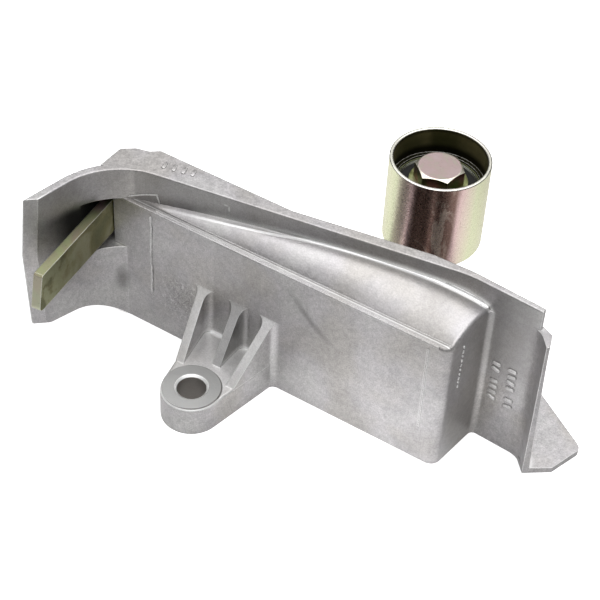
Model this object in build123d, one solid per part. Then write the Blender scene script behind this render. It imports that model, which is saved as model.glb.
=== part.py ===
from build123d import *
import math
import os

# Timing belt tensioner: a pressure die cast belt guard with a roller behind it and a steel guide strip.
# Millimetres, +Z up. The origin is the axis of the mounting ear's hole, on the plane the casting stands on.
# X runs along the front wall of the box, Y runs away from the ear.

# Mounting ear
ear_hole_d = 10.5
ear_hole_chamfer = 0.8
ear_boss_r = 11.0
ear_thickness = 12.0
spot_face_d = 21.0
spot_face_rise = 0.5
ear_root_half = 16.2
ear_edge_fillet = 1.0

# Ear ribs: they rise from the top of the ear to the front wall
rib_thickness = 3.3
rib_top_z = 31.7
rib_root_fillet = 2.8
rib_flare = 3.6
outer_rib_start_y = 7.6
outer_rib_inset = 0.15
middle_rib_start_y = 13.5
middle_rib_x = 0.8

# Skin of the casting and the bulged box
wall_y = 27.0
skin = 2.6
box_front_height = 56.0
box_corner_x = 83.2
box_end_x = 85.8
box_corner_radius = 4.0
box_edge_fillet = 1.5
box_end_root_fillet = 2.2

# Crown of the roof, by station along X: rise above the front wall at the guard wall, and half way to it
crown_start_x = -38.0
crown_rises = [
    (crown_start_x, 0.4, 0.2),
    (-4.0, 4.2, 3.4),
    (34.0, 6.3, 5.6),
    (66.0, 5.6, 5.8),
    (92.0, 1.6, 3.8),
]

# Hollow root between the roof and the guard wall: its size at the same stations
roof_root_sizes = [0.3, 0.6, 0.9, 0.95, 0.8]
root_bite = 0.15
root_end_gap = 0.8

# Rounded bead along the top edge of the front wall
bead_rise = 0.35
bead_height = 1.1

# Guard wall: its inner face, seen from the ear's side
tip_x = -61.8
tip_y = -2.8
tip_heading = 79.5
bend_radius = 26.0
run_heading = 9.4
knee_x = 76.4
knee_y = 49.9
knee_radius = 40.0
end_heading = -3.7
end_x = 104.4
guard_height = 69.0
guard_thickness = 3.2
swell_x = 62.0
swell_thickness = 4.4
knee_thickness = 2.5
end_thickness = 2.2
tip_miter = 4.1
guard_end_radius = 1.0
guard_edge_fillet = 0.5

# End of the guard wall at the left: it stands out most at the middle of its height
tip_bulge = 2.4
tip_bulge_z = 45.0
tip_foot = 1.0
tip_foot_z = 10.3
tip_foot_radius = 2.5

# Raised lower edge of the guard wall at the left, by X and height
raised_edge_middle = (-57.2, 6.9)
raised_edge_end_x = -48.3

# Lip at the right end, which turns towards the ear's side
lip_height = 61.0
lip_tip_x = 109.7
lip_tip_y = 42.2
lip_heading = -50.0
lip_radius = 7.5
lip_top_thickness = 1.0
lip_foot_thickness = 2.4
lip_back_x = 108.7
lip_back_y = 48.4

# Flat land behind the guard wall, at the left
land_thickness = 3.0
land_left_x = -56.3
land_left_y = 35.5
land_bend_x = -52.0
land_bend_y = 38.9
land_step_x = -47.0
land_step_width = 3.0
land_shoulder_y = 40.3
land_back_y = 42.8
land_right_x = 14.0
land_corner_radius = 2.0
land_bend_radius = 1.0

# Base plate
plate_thickness = 2.4
plate_left_x = -50.0
plate_left_y = 46.0
plate_nose_x = 118.0
plate_nose_y = 48.5
plate_corner_x = 122.3
plate_corner_y = 62.2
plate_corner_radius = 3.0
plate_left_radius = 6.0
plate_wrap_r = 15.5

# Second fixing hole, in the base plate behind the wall
second_hole_d = 9.0
second_boss_r = 9.5
second_boss_height = 12.0
second_hole_x = -24.0
second_hole_y = 52.0

# Guide strip: a flat steel bar through the window in the guard wall
strip_thickness = 3.5
strip_height = 14.5
strip_bottom_z = 38.0
strip_heading = 97.0
strip_front = 46.0
strip_rear = 17.0
strip_nose_slant = 3.2
strip_nose_radius = 1.8
strip_edge_chamfer = 0.7
slot_edge_x = -53.5
strip_side_gap = 0.3

# Window and the channel behind it
window_bottom_z = 33.3
window_top_z = 56.0
window_width = 6.2
channel_length = 18.5
socket_length = 8.0

# Roller
roller_x = 37.1
roller_y = 100.0
drum_seat_wall = 2.9
drum_height = 37.0
drum_rim_wall = 1.4
drum_ledge_rise = 1.0
drum_rim_radius = 0.45
drum_edge_radius = 2.2
rim_depth = 11.6

# Bearing in the roller
bearing_od = 31.0
bearing_bore = 14.0
bearing_width = 24.0
ball_d = 5.0
balls_per_row = 9
race_conformity = 0.53
race_depth = 0.9
ball_play = 0.04
row_inset = 6.2
cage_wall = 1.9
cage_height = 6.0
cage_pocket_gap = 0.12
seal_thickness = 0.7
seal_shoulder = 1.4
seal_recess = 0.5
seal_lip_gap = 0.08
ring_chamfer = 0.5

# Sleeve, washer and bolt
bolt_d = 10.0
bolt_length = 49.0
bolt_bore_gap = 0.1
head_across_flats = 16.0
head_height = 6.4
head_chamfer_angle = 30.0
head_flat_share = 0.96
head_turn = 17.3
shank_chamfer = 1.0
washer_od = 21.5
washer_thickness = 1.6
sleeve_flange_d = 18.0
sleeve_flange_t = 1.5

# Cast boss that carries the roller
boss_top_z = 30.2
boss_r = 8.6
boss_foot_r = 13.0
boss_cone_z = 19.0
boss_pad_z = 5.0
boss_pad_margin = 1.0
web_thickness = 3.0
web_boss_z = 17.0
web_wall_z = 46.0
web_feet_x = (8.0, 66.0)
land_web_x = (-34.0, -12.0)

# Cast marks on the front wall
parting_x = (-36.9, 75.5)
parting_z = (16.0, 53.0)
parting_width = 0.7
parting_rise = 0.25

# Heights that follow from the stack on the boss
bearing_bottom_z = boss_top_z + sleeve_flange_t
bearing_top_z = bearing_bottom_z + bearing_width
head_bottom_z = bearing_top_z + washer_thickness
drum_top_z = bearing_top_z + rim_depth
drum_bottom_z = drum_top_z - drum_height
drum_d = bearing_od + 2 * drum_seat_wall
pitch_r = (bearing_od + bearing_bore) / 4
ball_r = ball_d / 2
outer_land_r = pitch_r + ball_r - race_depth
inner_land_r = pitch_r - ball_r + race_depth
seal_seat_r = outer_land_r + seal_shoulder
roller_axis = Pos(roller_x, roller_y, 0)
tall = 2 * guard_height


def heading(angle):
    """Unit vector in the plan, at an angle from +X in degrees."""
    return Vector(math.cos(math.radians(angle)), math.sin(math.radians(angle)))


def crossing(point_a, angle_a, point_b, angle_b):
    """Point where two lines of the plan cross, each given by a point and a heading."""
    a = heading(angle_a)
    b = heading(angle_b)
    gap = Vector(*point_b) - Vector(*point_a)
    along = (gap.X * b.Y - gap.Y * b.X) / (a.X * b.Y - a.Y * b.X)
    return (point_a[0] + a.X * along, point_a[1] + a.Y * along)


def beside(point, angle, distance):
    """Point at a distance to the left of a heading."""
    side = heading(angle + 90) * distance
    return (point[0] + side.X, point[1] + side.Y)


def outline(corners):
    """Face of the plan from (x, y, radius) corners. A radius of zero leaves a corner sharp."""
    face = make_face(Polyline(*[(x, y) for x, y, radius in corners], close=True))
    for x, y, radius in corners:
        if radius > 0:
            face = fillet(face.vertices().sort_by_distance((x, y, 0))[0], radius)
    return face


def upright(face, bottom, top):
    """Solid that stands on a face of the plan, between two heights."""
    return Pos(0, 0, bottom) * extrude(face, top - bottom)


# The guard wall's inner face in plan: tip, bend corner, knee and end
tip_in = (tip_x, tip_y)
knee_in = (knee_x, knee_y)
bend_in = crossing(tip_in, tip_heading, knee_in, run_heading)
end_in = (end_x, knee_y + (end_x - knee_x) * math.tan(math.radians(end_heading)))
strip_dir = heading(strip_heading)
slot_edge = (slot_edge_x, wall_y)


def run_y(x):
    """Y of the guard wall's inner face at X, right of the bend."""
    if x < knee_x:
        return knee_y + (x - knee_x) * math.tan(math.radians(run_heading))
    return knee_y + (x - knee_x) * math.tan(math.radians(end_heading))


def guard_wall():
    """Curved wall of even height, with rounded top edges and a raised edge under its left end."""
    reach = tip_bulge + guard_thickness
    outward = heading(tip_heading + 180)
    tip_far = (tip_x + outward.X * reach, tip_y + outward.Y * reach)
    miter_far = beside(tip_far, tip_heading, guard_thickness)
    miter_far = (miter_far[0] + outward.X * tip_miter, miter_far[1] + outward.Y * tip_miter)
    swell_in = (swell_x, run_y(swell_x))
    bend_out = crossing(miter_far, tip_heading, beside(knee_in, run_heading, guard_thickness), run_heading)
    face = outline([
        (*tip_far, 0),
        (*bend_in, bend_radius),
        (*knee_in, knee_radius),
        (*end_in, 0),
        (*beside(end_in, end_heading, end_thickness), guard_end_radius),
        (*beside(knee_in, end_heading, knee_thickness), knee_radius),
        (*beside(swell_in, run_heading, swell_thickness), 0),
        (*bend_out, bend_radius + guard_thickness),
        (*miter_far, 0),
    ])
    wall = upright(face, 0, guard_height)
    wall = fillet(wall.edges().group_by(Axis.Z)[-1], guard_edge_fillet)
    return wall - tip_trim() - raised_edge_trim()


def tip_trim():
    """What is cut off the guard wall's left end, along the slant of its end face."""
    outward = heading(tip_heading + 180)
    side = heading(tip_heading + 90) * guard_thickness + outward * tip_miter
    low = tip_foot_z
    edge = Polyline((0, tall), (0, guard_height), (tip_bulge, tip_bulge_z), (tip_foot, low + tip_foot_radius))
    foot = ThreePointArc(
        (tip_foot, low + tip_foot_radius),
        (tip_foot - tip_foot_radius * (1 - math.sqrt(0.5)), low + tip_foot_radius * (1 - math.sqrt(0.5))),
        (tip_foot - tip_foot_radius, low),
    )
    far = 4 * tip_bulge + tip_miter
    rest = Polyline(
        (tip_foot - tip_foot_radius, low),
        (tip_foot - tip_foot_radius, -skin),
        (far, -skin),
        (far, tall),
        (0, tall),
    )
    plane = Plane((tip_x, tip_y, 0), x_dir=outward, z_dir=(outward.Y, -outward.X, 0))
    profile = plane * make_face(edge + foot + rest)
    return extrude(profile, 4 * guard_thickness, dir=side.normalized(), both=True)


def raised_edge_trim():
    """What is cut away under the guard wall's left end."""
    end = (raised_edge_end_x, 0)
    tip = (tip_x, tip_foot_z)
    far = (2 * tip_x, tip_foot_z)
    edge = Polyline(far, tip) + Spline(tip, raised_edge_middle, end)
    rest = Polyline(end, (end[0], -skin), (far[0], -skin), far)
    return extrude(Plane.XZ * make_face(edge + rest), tall, both=True)


def lip_plan(thickness):
    """Plan of the lip at one height, by the thickness of its free end."""
    tip = (lip_tip_x, lip_tip_y)
    corner = crossing(end_in, end_heading, tip, lip_heading)
    start = (knee_x + lip_radius, run_y(knee_x + lip_radius))
    return outline([
        (*start, 0),
        (*corner, lip_radius),
        (*tip, 0),
        (*beside(tip, lip_heading, thickness), 0),
        (lip_back_x, lip_back_y, 0),
        (*beside(end_in, end_heading, end_thickness), 0),
        (*beside(start, end_heading, knee_thickness), 0),
    ])


def lip():
    """Lower part of the wall's right end, which curves towards the ear's side and thins upwards."""
    foot = lip_plan(lip_foot_thickness)
    top = Pos(0, 0, lip_height) * lip_plan(lip_top_thickness)
    return loft([foot, top], ruled=True)


def across(x, section):
    """Section drawn in Y and Z, placed across the wall at X."""
    return Plane((x, 0, 0), x_dir=(0, 1, 0), z_dir=(1, 0, 0)) * section


def crown_line(x, rise_at_wall, rise_half_way, drop):
    """Line of the crown in Y and Z, from the ledge into the guard wall, inset by drop."""
    ledge = wall_y + skin + drop / 2
    back = max(run_y(x) + skin / 2, ledge + skin)
    top = box_front_height - drop
    return Spline((ledge, top), ((ledge + back) / 2, top + rise_half_way), (back, top + rise_at_wall))


def crown_body(drop, reach):
    """Body under the crown, as deep as the wall, inset by drop from the outer surface."""
    front = wall_y + drop
    sections = []
    for x, rise_at_wall, rise_half_way in crown_rises:
        crown = crown_line(x, rise_at_wall, rise_half_way, drop)
        ledge = crown @ 0
        corner = crown @ 1
        far_y = run_y(x) + reach
        rest = Polyline(corner, (far_y, corner.Y), (far_y, -skin), (front, -skin), (front, ledge.Y), ledge)
        sections.append(across(x, make_face(crown + rest)))
    return loft(sections)


def roof_root():
    """Hollow curve that carries the roof into the guard wall."""
    sections = []
    for (x, rise_at_wall, rise_half_way), size in zip(crown_rises, roof_root_sizes):
        crown = crown_line(x, rise_at_wall, rise_half_way, 0)
        foot = crown @ (1 - (size + skin / 2) / crown.length) - Vector(0, root_bite)
        radius = run_y(x) + root_bite - foot.X
        head = foot + Vector(radius, radius)
        middle = foot + Vector(radius * math.sqrt(0.5), radius * (1 - math.sqrt(0.5)))
        back = head.X + skin / 2
        below = foot.Y - skin / 2
        buried = Polyline(head, (back, head.Y), (back, below), (foot.X, below), foot)
        sections.append(across(x, make_face(ThreePointArc(foot, middle, head) + buried)))
    ribbon = loft(sections)
    return ribbon & upright(box_plan(root_end_gap, run_y(box_end_x) + skin), 0, tall)


def box_plan(inset, back_y):
    """Plan of the box, inset from its outer faces."""
    slope = (box_end_x - box_corner_x) / (run_y(box_end_x) - wall_y)
    corner_x = box_corner_x - inset + slope * inset
    back_x = corner_x + slope * (back_y - wall_y - inset)
    return outline([
        (crown_start_x, wall_y + inset, 0),
        (corner_x, wall_y + inset, box_corner_radius - inset / 2),
        (back_x, back_y, 0),
        (crown_start_x, back_y, 0),
    ])


def front_wall():
    """Left part of the front wall, up to the box and back into the guard wall's bend."""
    right_x = crown_start_x + skin
    back_y = run_y(crown_start_x) + skin / 2
    face = outline([
        (slot_edge_x, wall_y, 0),
        (right_x, wall_y, 0),
        (right_x, back_y, 0),
        (crown_start_x, back_y, 0),
        (crown_start_x - 3 * skin, wall_y + skin, 0),
        (slot_edge_x, wall_y + skin, 0),
    ])
    return upright(face, 0, box_front_height)


def bead():
    """Rounded bead along the top edge of the front wall."""
    length = box_corner_x - box_corner_radius - slot_edge_x
    bar = Box(length, 2 * bead_rise, bead_height, align=(Align.MIN, Align.CENTER, Align.MAX))
    bar = fillet(bar.edges().filter_by(Axis.X).group_by(Axis.Y)[0], bead_rise / 2)
    return Pos(slot_edge_x, wall_y, box_front_height) * bar


def parting_ridges():
    """Fine upright ridges on the front wall where the die's parts met."""
    low, high = parting_z
    ridge = Box(parting_width, 2 * parting_rise, high - low, align=(Align.CENTER, Align.CENTER, Align.MIN))
    return [Pos(x, wall_y, low) * ridge for x in parting_x]


def box():
    """Bulged box: outer body under the crown, to be hollowed from behind."""
    back_y = run_y(box_end_x) + skin
    body = crown_body(0, skin) & upright(box_plan(0, back_y), 0, tall)
    rim = body.edges().filter_by(lambda edge: is_end_rim(edge.bounding_box()))
    return fillet(rim, box_edge_fillet)


def is_end_rim(extent):
    """Whether an edge runs along the top of the box's right end, by its bounding box."""
    at_top = extent.min.Z > box_front_height - skin / 4
    at_end = extent.min.X > box_corner_x - box_corner_radius - skin / 4
    return at_top and at_end and extent.max.Y < run_y(box_end_x) + skin * 3 / 4


def is_end_root(centre):
    """Whether an upright edge lies where the box's right end meets the guard wall, by its centre."""
    near_x = abs(centre.X - box_end_x) < skin / 2
    return near_x and abs(centre.Y - run_y(box_end_x)) < skin / 2


def hollow():
    """Space inside the box, open behind and below the guard wall."""
    back_y = run_y(knee_x) + 4 * skin
    return crown_body(skin, 5 * skin) & upright(box_plan(skin, back_y), plate_thickness, tall)


def ear():
    """Mounting ear with its spot face and three ribs."""
    circle = Circle(ear_boss_r)
    root = Polyline((-ear_root_half, wall_y), (ear_root_half, wall_y))
    plan = make_hull(circle.edges() + root.edges())
    body = upright(plan, 0, ear_thickness)
    round_edges = body.edges().filter_by_position(Axis.Y, -2 * ear_boss_r, wall_y - skin)
    body = fillet(round_edges.group_by(Axis.Z)[-1], ear_edge_fillet)
    body += upright(Rectangle(2 * ear_root_half, skin).moved(Pos(0, wall_y + skin / 2)), 0, ear_thickness)
    body += upright(Circle(spot_face_d / 2), 0, ear_thickness + spot_face_rise)
    for side in (-1, 1):
        middle = outer_rib_inset + rib_thickness / 2
        start = (side * (ear_flank(outer_rib_start_y) - middle), outer_rib_start_y)
        foot = (side * (ear_root_half - middle), wall_y)
        body += ear_rib(start, foot)
    body += ear_rib((middle_rib_x, middle_rib_start_y), (middle_rib_x, wall_y))
    hole_r = ear_hole_d / 2
    body -= Cylinder(hole_r, tall)
    rims = body.edges().filter_by(GeomType.CIRCLE).filter_by(lambda edge: abs(edge.radius - hole_r) < 0.01)
    return chamfer(rims.sort_by(Axis.Z)[-1], ear_hole_chamfer)


def ear_flank(y):
    """Half width of the ear at Y, on its straight flank between the boss and the front wall."""
    lean = math.atan2(ear_root_half, wall_y) - math.asin(ear_boss_r / math.hypot(ear_root_half, wall_y))
    return ear_root_half - (wall_y - y) * math.tan(lean)


def ear_rib(start, foot):
    """One rib of the ear, flared where it meets the front wall, with a sloping top."""
    half = rib_thickness / 2
    flare = half + rib_flare
    plan = outline([
        (start[0] - half, start[1], 0),
        (foot[0] - half, foot[1], rib_root_fillet),
        (foot[0] - flare, foot[1], 0),
        (foot[0] - flare, foot[1] + skin / 2, 0),
        (foot[0] + flare, foot[1] + skin / 2, 0),
        (foot[0] + flare, foot[1], 0),
        (foot[0] + half, foot[1], rib_root_fillet),
        (start[0] + half, start[1], 0),
    ])
    slope = make_face(Polyline(
        (start[1], 0),
        (start[1], ear_thickness),
        (foot[1], rib_top_z),
        (foot[1] + skin, rib_top_z),
        (foot[1] + skin, 0),
        close=True,
    ))
    wedge = extrude(Plane.YZ * slope, 2 * ear_root_half, both=True)
    return upright(plan, 0, rib_top_z) & wedge


def tangent_point(point, side):
    """Point where the line from a corner of the plate touches the plate's round end at the roller."""
    dx = point[0] - roller_x
    dy = point[1] - roller_y
    angle = math.atan2(dy, dx) + side * math.acos(plate_wrap_r / math.hypot(dx, dy))
    return (roller_x + plate_wrap_r * math.cos(angle), roller_y + plate_wrap_r * math.sin(angle))


def base_plate():
    """Thin plate along the bottom, wrapped round the roller's boss."""
    tip = (lip_tip_x, lip_tip_y)
    right = tangent_point((plate_corner_x, plate_corner_y), 1)
    left = tangent_point((plate_left_x, plate_left_y), -1)
    face = outline([
        (plate_left_x, wall_y, 0),
        (box_corner_x, wall_y, box_corner_radius),
        (box_end_x, run_y(box_end_x), 0),
        (*end_in, 0),
        (*tip, 0),
        (plate_nose_x, plate_nose_y, 0),
        (plate_corner_x, plate_corner_y, plate_corner_radius),
        (*right, 0),
        (*left, 0),
        (plate_left_x, plate_left_y, plate_left_radius),
    ])
    plate = upright(face, 0, plate_thickness)
    plate += roller_axis * upright(Circle(plate_wrap_r), 0, plate_thickness)
    return plate


def web(start, end, profile):
    """Upright rib between two points of the plan. Its profile is in distance from start and height."""
    run = Vector(*end) - Vector(*start)
    plane = Plane(start, x_dir=run, z_dir=(run.Y, -run.X, 0))
    return extrude(plane * make_face(Polyline(*profile, close=True)), web_thickness / 2, both=True)


def roller_boss():
    """Cast boss under the roller, with two ribs that tie it to the box."""
    boss = Pos(0, 0, boss_pad_z / 2) * Cylinder(plate_wrap_r - boss_pad_margin, boss_pad_z)
    cone = Cone(boss_foot_r, boss_r, boss_cone_z - boss_pad_z, align=(Align.CENTER, Align.CENTER, Align.MIN))
    boss += Pos(0, 0, boss_pad_z) * cone
    boss += upright(Circle(boss_r), boss_cone_z, boss_top_z)
    body = roller_axis * boss
    for foot_x in web_feet_x:
        foot = (foot_x, wall_y + skin / 2)
        reach = math.hypot(foot[0] - roller_x, foot[1] - roller_y)
        at_wall = reach * (roller_y - run_y(foot_x)) / (roller_y - foot[1])
        body += web((roller_x, roller_y), foot, [
            (0, 0),
            (0, web_boss_z),
            (boss_r, web_boss_z),
            (at_wall - guard_thickness, web_wall_z),
            (reach, box_front_height - skin),
            (reach, 0),
        ])
    return body


def second_boss():
    """Round boss on the plate for the second fixing bolt."""
    return Pos(second_hole_x, second_hole_y) * upright(Circle(second_boss_r), 0, second_boss_height)


def back_land():
    """Flat land at the top of the guard wall, behind its bend, on upright ribs."""
    inner = beside(bend_in, (tip_heading + run_heading) / 2, guard_thickness / 2)
    face = outline([
        (land_left_x, wall_y - skin, 0),
        (land_left_x, land_left_y, land_corner_radius),
        (land_bend_x, land_bend_y, land_bend_radius),
        (land_step_x, land_shoulder_y, 0),
        (land_step_x + land_step_width, land_back_y, land_bend_radius),
        (land_right_x, land_back_y, 0),
        (land_right_x, run_y(land_right_x) + guard_thickness / 3, 0),
        (inner[0] + bend_radius / 2, run_y(inner[0] + bend_radius / 2) + guard_thickness / 3, 0),
    ])
    land = upright(face, guard_height - land_thickness, guard_height)
    rear_y = land_back_y - web_thickness / 3
    foot_y = wall_y + skin / 2
    web_top = guard_height - land_thickness / 2
    for x in land_web_x:
        land += web((x, rear_y), (x, foot_y), [
            (0, web_top),
            (rear_y - foot_y, web_top),
            (rear_y - foot_y, 0),
            (rear_y - foot_y - skin, 0),
            (web_thickness / 3, window_top_z),
        ])
    return land


def strip_frame():
    """Plane whose X runs along the strip, from the slot edge, and whose Z is up."""
    origin = beside(slot_edge, strip_heading, strip_side_gap)
    return Plane((origin[0], origin[1], 0), x_dir=strip_dir, z_dir=(0, 0, 1))


def channel():
    """Channel behind the window, with the socket that holds the strip's rear end."""
    frame = Plane((slot_edge[0], slot_edge[1], 0), x_dir=strip_dir, z_dir=(0, 0, 1))
    front = -(wall_y - tip_y)
    outer = frame * make_face(Polyline(
        (front / 2, -skin),
        (channel_length, -skin),
        (channel_length, window_width + skin),
        (front / 2, window_width + skin),
        close=True,
    ))
    return upright(outer, window_bottom_z - skin, window_top_z + skin)


def window():
    """Space cut through the guard wall and back to the socket."""
    frame = Plane((slot_edge[0], slot_edge[1], 0), x_dir=strip_dir, z_dir=(0, 0, 1))
    front = -(wall_y - tip_y)
    inner = frame * make_face(Polyline(
        (front, 0),
        (channel_length - socket_length, 0),
        (channel_length - socket_length, window_width),
        (front, window_width),
        close=True,
    ))
    before_wall = outline([
        (slot_edge_x, wall_y, 0),
        (slot_edge_x, tip_y, 0),
        (0, tip_y, 0),
        (0, wall_y, 0),
    ])
    return upright(inner, window_bottom_z, window_top_z) + upright(before_wall, window_bottom_z, window_top_z)


def before_guard():
    """Open space on the ear's side of the guard wall, where nothing behind it may stand."""
    far = -tall
    face = outline([
        (tip_x - heading(tip_heading).X * tall, tip_y - heading(tip_heading).Y * tall, 0),
        (*bend_in, bend_radius),
        (*knee_in, 0),
        (knee_x + tall, run_y(knee_x + tall), 0),
        (knee_x + tall, far, 0),
    ])
    return upright(face, -1, tall)


def guide_strip():
    """Flat bar with a slanted front end, a rounded lower corner and a broken upper edge."""
    side = make_face(Polyline(
        (-strip_front, strip_height),
        (-strip_front - strip_nose_slant, 0),
        (strip_rear, 0),
        (strip_rear, strip_height),
        close=True,
    ))
    side = fillet(side.vertices().sort_by(Axis.X)[0], strip_nose_radius)
    upper = side.vertices().sort_by_distance((-strip_front, strip_height, 0))[0]
    side = chamfer(upper, strip_edge_chamfer)
    bar = extrude(Plane.XZ * side, -strip_thickness)
    return strip_frame() * Pos(0, 0, strip_bottom_z) * bar


def housing():
    """The whole casting as one solid."""
    open_side = before_guard()
    behind = channel() - open_side
    behind += back_land() - open_side
    body = guard_wall() + lip() + front_wall() + box()
    root = body.edges().filter_by(Axis.Z).filter_by(lambda edge: is_end_root(edge.center()))
    body = fillet(root, box_end_root_fillet)
    body += roof_root()
    body -= hollow()
    body += base_plate()
    body += behind
    body -= window()
    body += [bead()] + parting_ridges()
    body += roller_boss() + second_boss()
    body += ear()
    body -= Pos(second_hole_x, second_hole_y) * Cylinder(second_hole_d / 2, tall)
    body -= roller_axis * Cylinder(bolt_d / 2 + bolt_bore_gap / 2, tall)
    body -= guide_strip_room()
    return body


def guide_strip_room():
    """Socket of the strip's own section at the channel's end."""
    bar = Box(socket_length + skin, strip_thickness, strip_height, align=(Align.MAX, Align.MIN, Align.MIN))
    return strip_frame() * Pos(strip_rear, 0, strip_bottom_z) * bar


def ring(outer_r, inner_r, bottom, top):
    """Plain ring round the roller's axis, before it is moved there."""
    return upright(Circle(outer_r) - Circle(inner_r), bottom, top)


def row_heights():
    """Heights of the two ball rows."""
    return (bearing_top_z - row_inset, bearing_bottom_z + row_inset)


def races():
    """Both ball tracks as solid rings, to be cut from the bearing rings."""
    race_r = race_conformity * ball_d
    shift = race_r - ball_r - ball_play
    tracks = []
    for z in row_heights():
        outer = Torus(pitch_r - shift, race_r)
        inner = Torus(pitch_r + shift, race_r)
        tracks.append((Pos(0, 0, z) * outer, Pos(0, 0, z) * inner))
    return tracks


def bearing_rings():
    """Outer and inner ring of the double row bearing, with their ball tracks and the seals' seats."""
    outer = ring(bearing_od / 2, outer_land_r, bearing_bottom_z, bearing_top_z)
    inner = ring(inner_land_r, bearing_bore / 2, bearing_bottom_z, bearing_top_z)
    for outer_track, inner_track in races():
        outer -= outer_track
        inner -= inner_track
    seat_depth = seal_recess + seal_thickness
    outer -= upright(Circle(seal_seat_r), bearing_bottom_z, bearing_bottom_z + seat_depth)
    outer -= upright(Circle(seal_seat_r), bearing_top_z - seat_depth, bearing_top_z)
    mean_r = (bearing_od / 2 + outer_land_r) / 2
    outer_rims = outer.edges().filter_by(GeomType.CIRCLE).filter_by(lambda e: e.radius > mean_r)
    outer = chamfer(outer_rims.group_by(Axis.Z)[0] + outer_rims.group_by(Axis.Z)[-1], ring_chamfer)
    return outer, inner


def ball_places():
    """Centres of one row's balls, from the roller's axis."""
    return PolarLocations(pitch_r, balls_per_row)


def cage(z):
    """Ring of pockets that keeps one row of balls apart."""
    body = ring(pitch_r + cage_wall / 2, pitch_r - cage_wall / 2, z - cage_height / 2, z + cage_height / 2)
    for place in ball_places():
        body -= Pos(0, 0, z) * place * Rot(0, 90, 0) * Cylinder(ball_r + cage_pocket_gap, 2 * cage_wall)
    return body


def seal(z):
    """Flat seal that sits on the outer ring's shoulder and runs just clear of the inner ring."""
    return ring(seal_seat_r, inner_land_r + seal_lip_gap, z - seal_thickness / 2, z + seal_thickness / 2)


def roller_drum():
    """Steel drum: thin rim above the bearing seat, rounded lower edge and an inward floor."""
    radius = drum_d / 2
    ledge_z = bearing_top_z + drum_ledge_rise
    section = make_face(Polyline(
        (outer_land_r, drum_bottom_z),
        (radius, drum_bottom_z),
        (radius, drum_top_z),
        (radius - drum_rim_wall, drum_top_z),
        (radius - drum_rim_wall, ledge_z),
        (bearing_od / 2, ledge_z),
        (bearing_od / 2, bearing_bottom_z),
        (outer_land_r, bearing_bottom_z),
        close=True,
    ))
    lower = section.vertices().sort_by_distance((radius, drum_bottom_z, 0))[0]
    section = fillet(lower, drum_edge_radius)
    rim = section.vertices().group_by(Axis.Y)[-1]
    section = fillet(rim, drum_rim_radius)
    return revolve(Plane.XZ * section, Axis.Z)


def centre_sleeve():
    """Sleeve inside the inner ring, with the flange that stands on the boss."""
    body = ring(bearing_bore / 2, bolt_d / 2 + bolt_bore_gap / 2, boss_top_z, bearing_top_z)
    return body + ring(sleeve_flange_d / 2, bolt_d / 2 + bolt_bore_gap / 2, boss_top_z, bearing_bottom_z)


def roller_bolt():
    """Hexagon bolt with a chamfered head."""
    head = upright(RegularPolygon(head_across_flats / 2, 6, major_radius=False), 0, head_height)
    flat_r = head_across_flats / 2 * head_flat_share
    drop = head_across_flats * math.tan(math.radians(head_chamfer_angle)) / 2
    slope = make_face(Polyline(
        (0, 0),
        (flat_r + head_across_flats / 2, 0),
        (flat_r + head_across_flats / 2, head_height - drop),
        (flat_r, head_height),
        (0, head_height),
        close=True,
    ))
    head &= revolve(Plane.XZ * slope, Axis.Z)
    shank = upright(Circle(bolt_d / 2), -bolt_length, 0)
    shank = chamfer(shank.edges().sort_by(Axis.Z)[0], shank_chamfer)
    return Pos(0, 0, head_bottom_z) * Rot(0, 0, head_turn) * (head + shank)


def build():
    """All pieces by node name."""
    outer, inner = bearing_rings()
    upper_z, lower_z = row_heights()
    seal_offset = seal_recess + seal_thickness / 2
    parts = {
        "housing": housing(),
        "guide_strip": guide_strip(),
        "roller_drum": roller_axis * roller_drum(),
        "outer_ring": roller_axis * outer,
        "inner_ring": roller_axis * inner,
        "cage_upper": roller_axis * cage(upper_z),
        "cage_lower": roller_axis * cage(lower_z),
        "seal_upper": roller_axis * seal(bearing_top_z - seal_offset),
        "seal_lower": roller_axis * seal(bearing_bottom_z + seal_offset),
        "centre_sleeve": roller_axis * centre_sleeve(),
        "washer": roller_axis * ring(washer_od / 2, bolt_d / 2 + bolt_bore_gap, bearing_top_z, head_bottom_z),
        "roller_bolt": roller_axis * roller_bolt(),
    }
    for row, z in (("upper", upper_z), ("lower", lower_z)):
        for number, place in enumerate(ball_places(), start=1):
            ball = roller_axis * Pos(0, 0, z) * place * Sphere(ball_r)
            parts[f"ball_{row}_{number}"] = ball
    return parts


os.makedirs("parts", exist_ok=True)
for name, shape in build().items():
    export_step(shape, f"parts/{name}.step")
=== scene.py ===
"""Looks of a timing belt tensioner: cast aluminium guard, passivated roller and guide strip.

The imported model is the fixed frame. This script adds the finishes and the small cast marks, and sets a plain
studio round them. Lengths are in metres, in the part's own frame.
"""
import logging
import math
from dataclasses import dataclass
from enum import Enum

import bmesh
import bpy
from mathutils import Matrix, Vector


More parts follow.
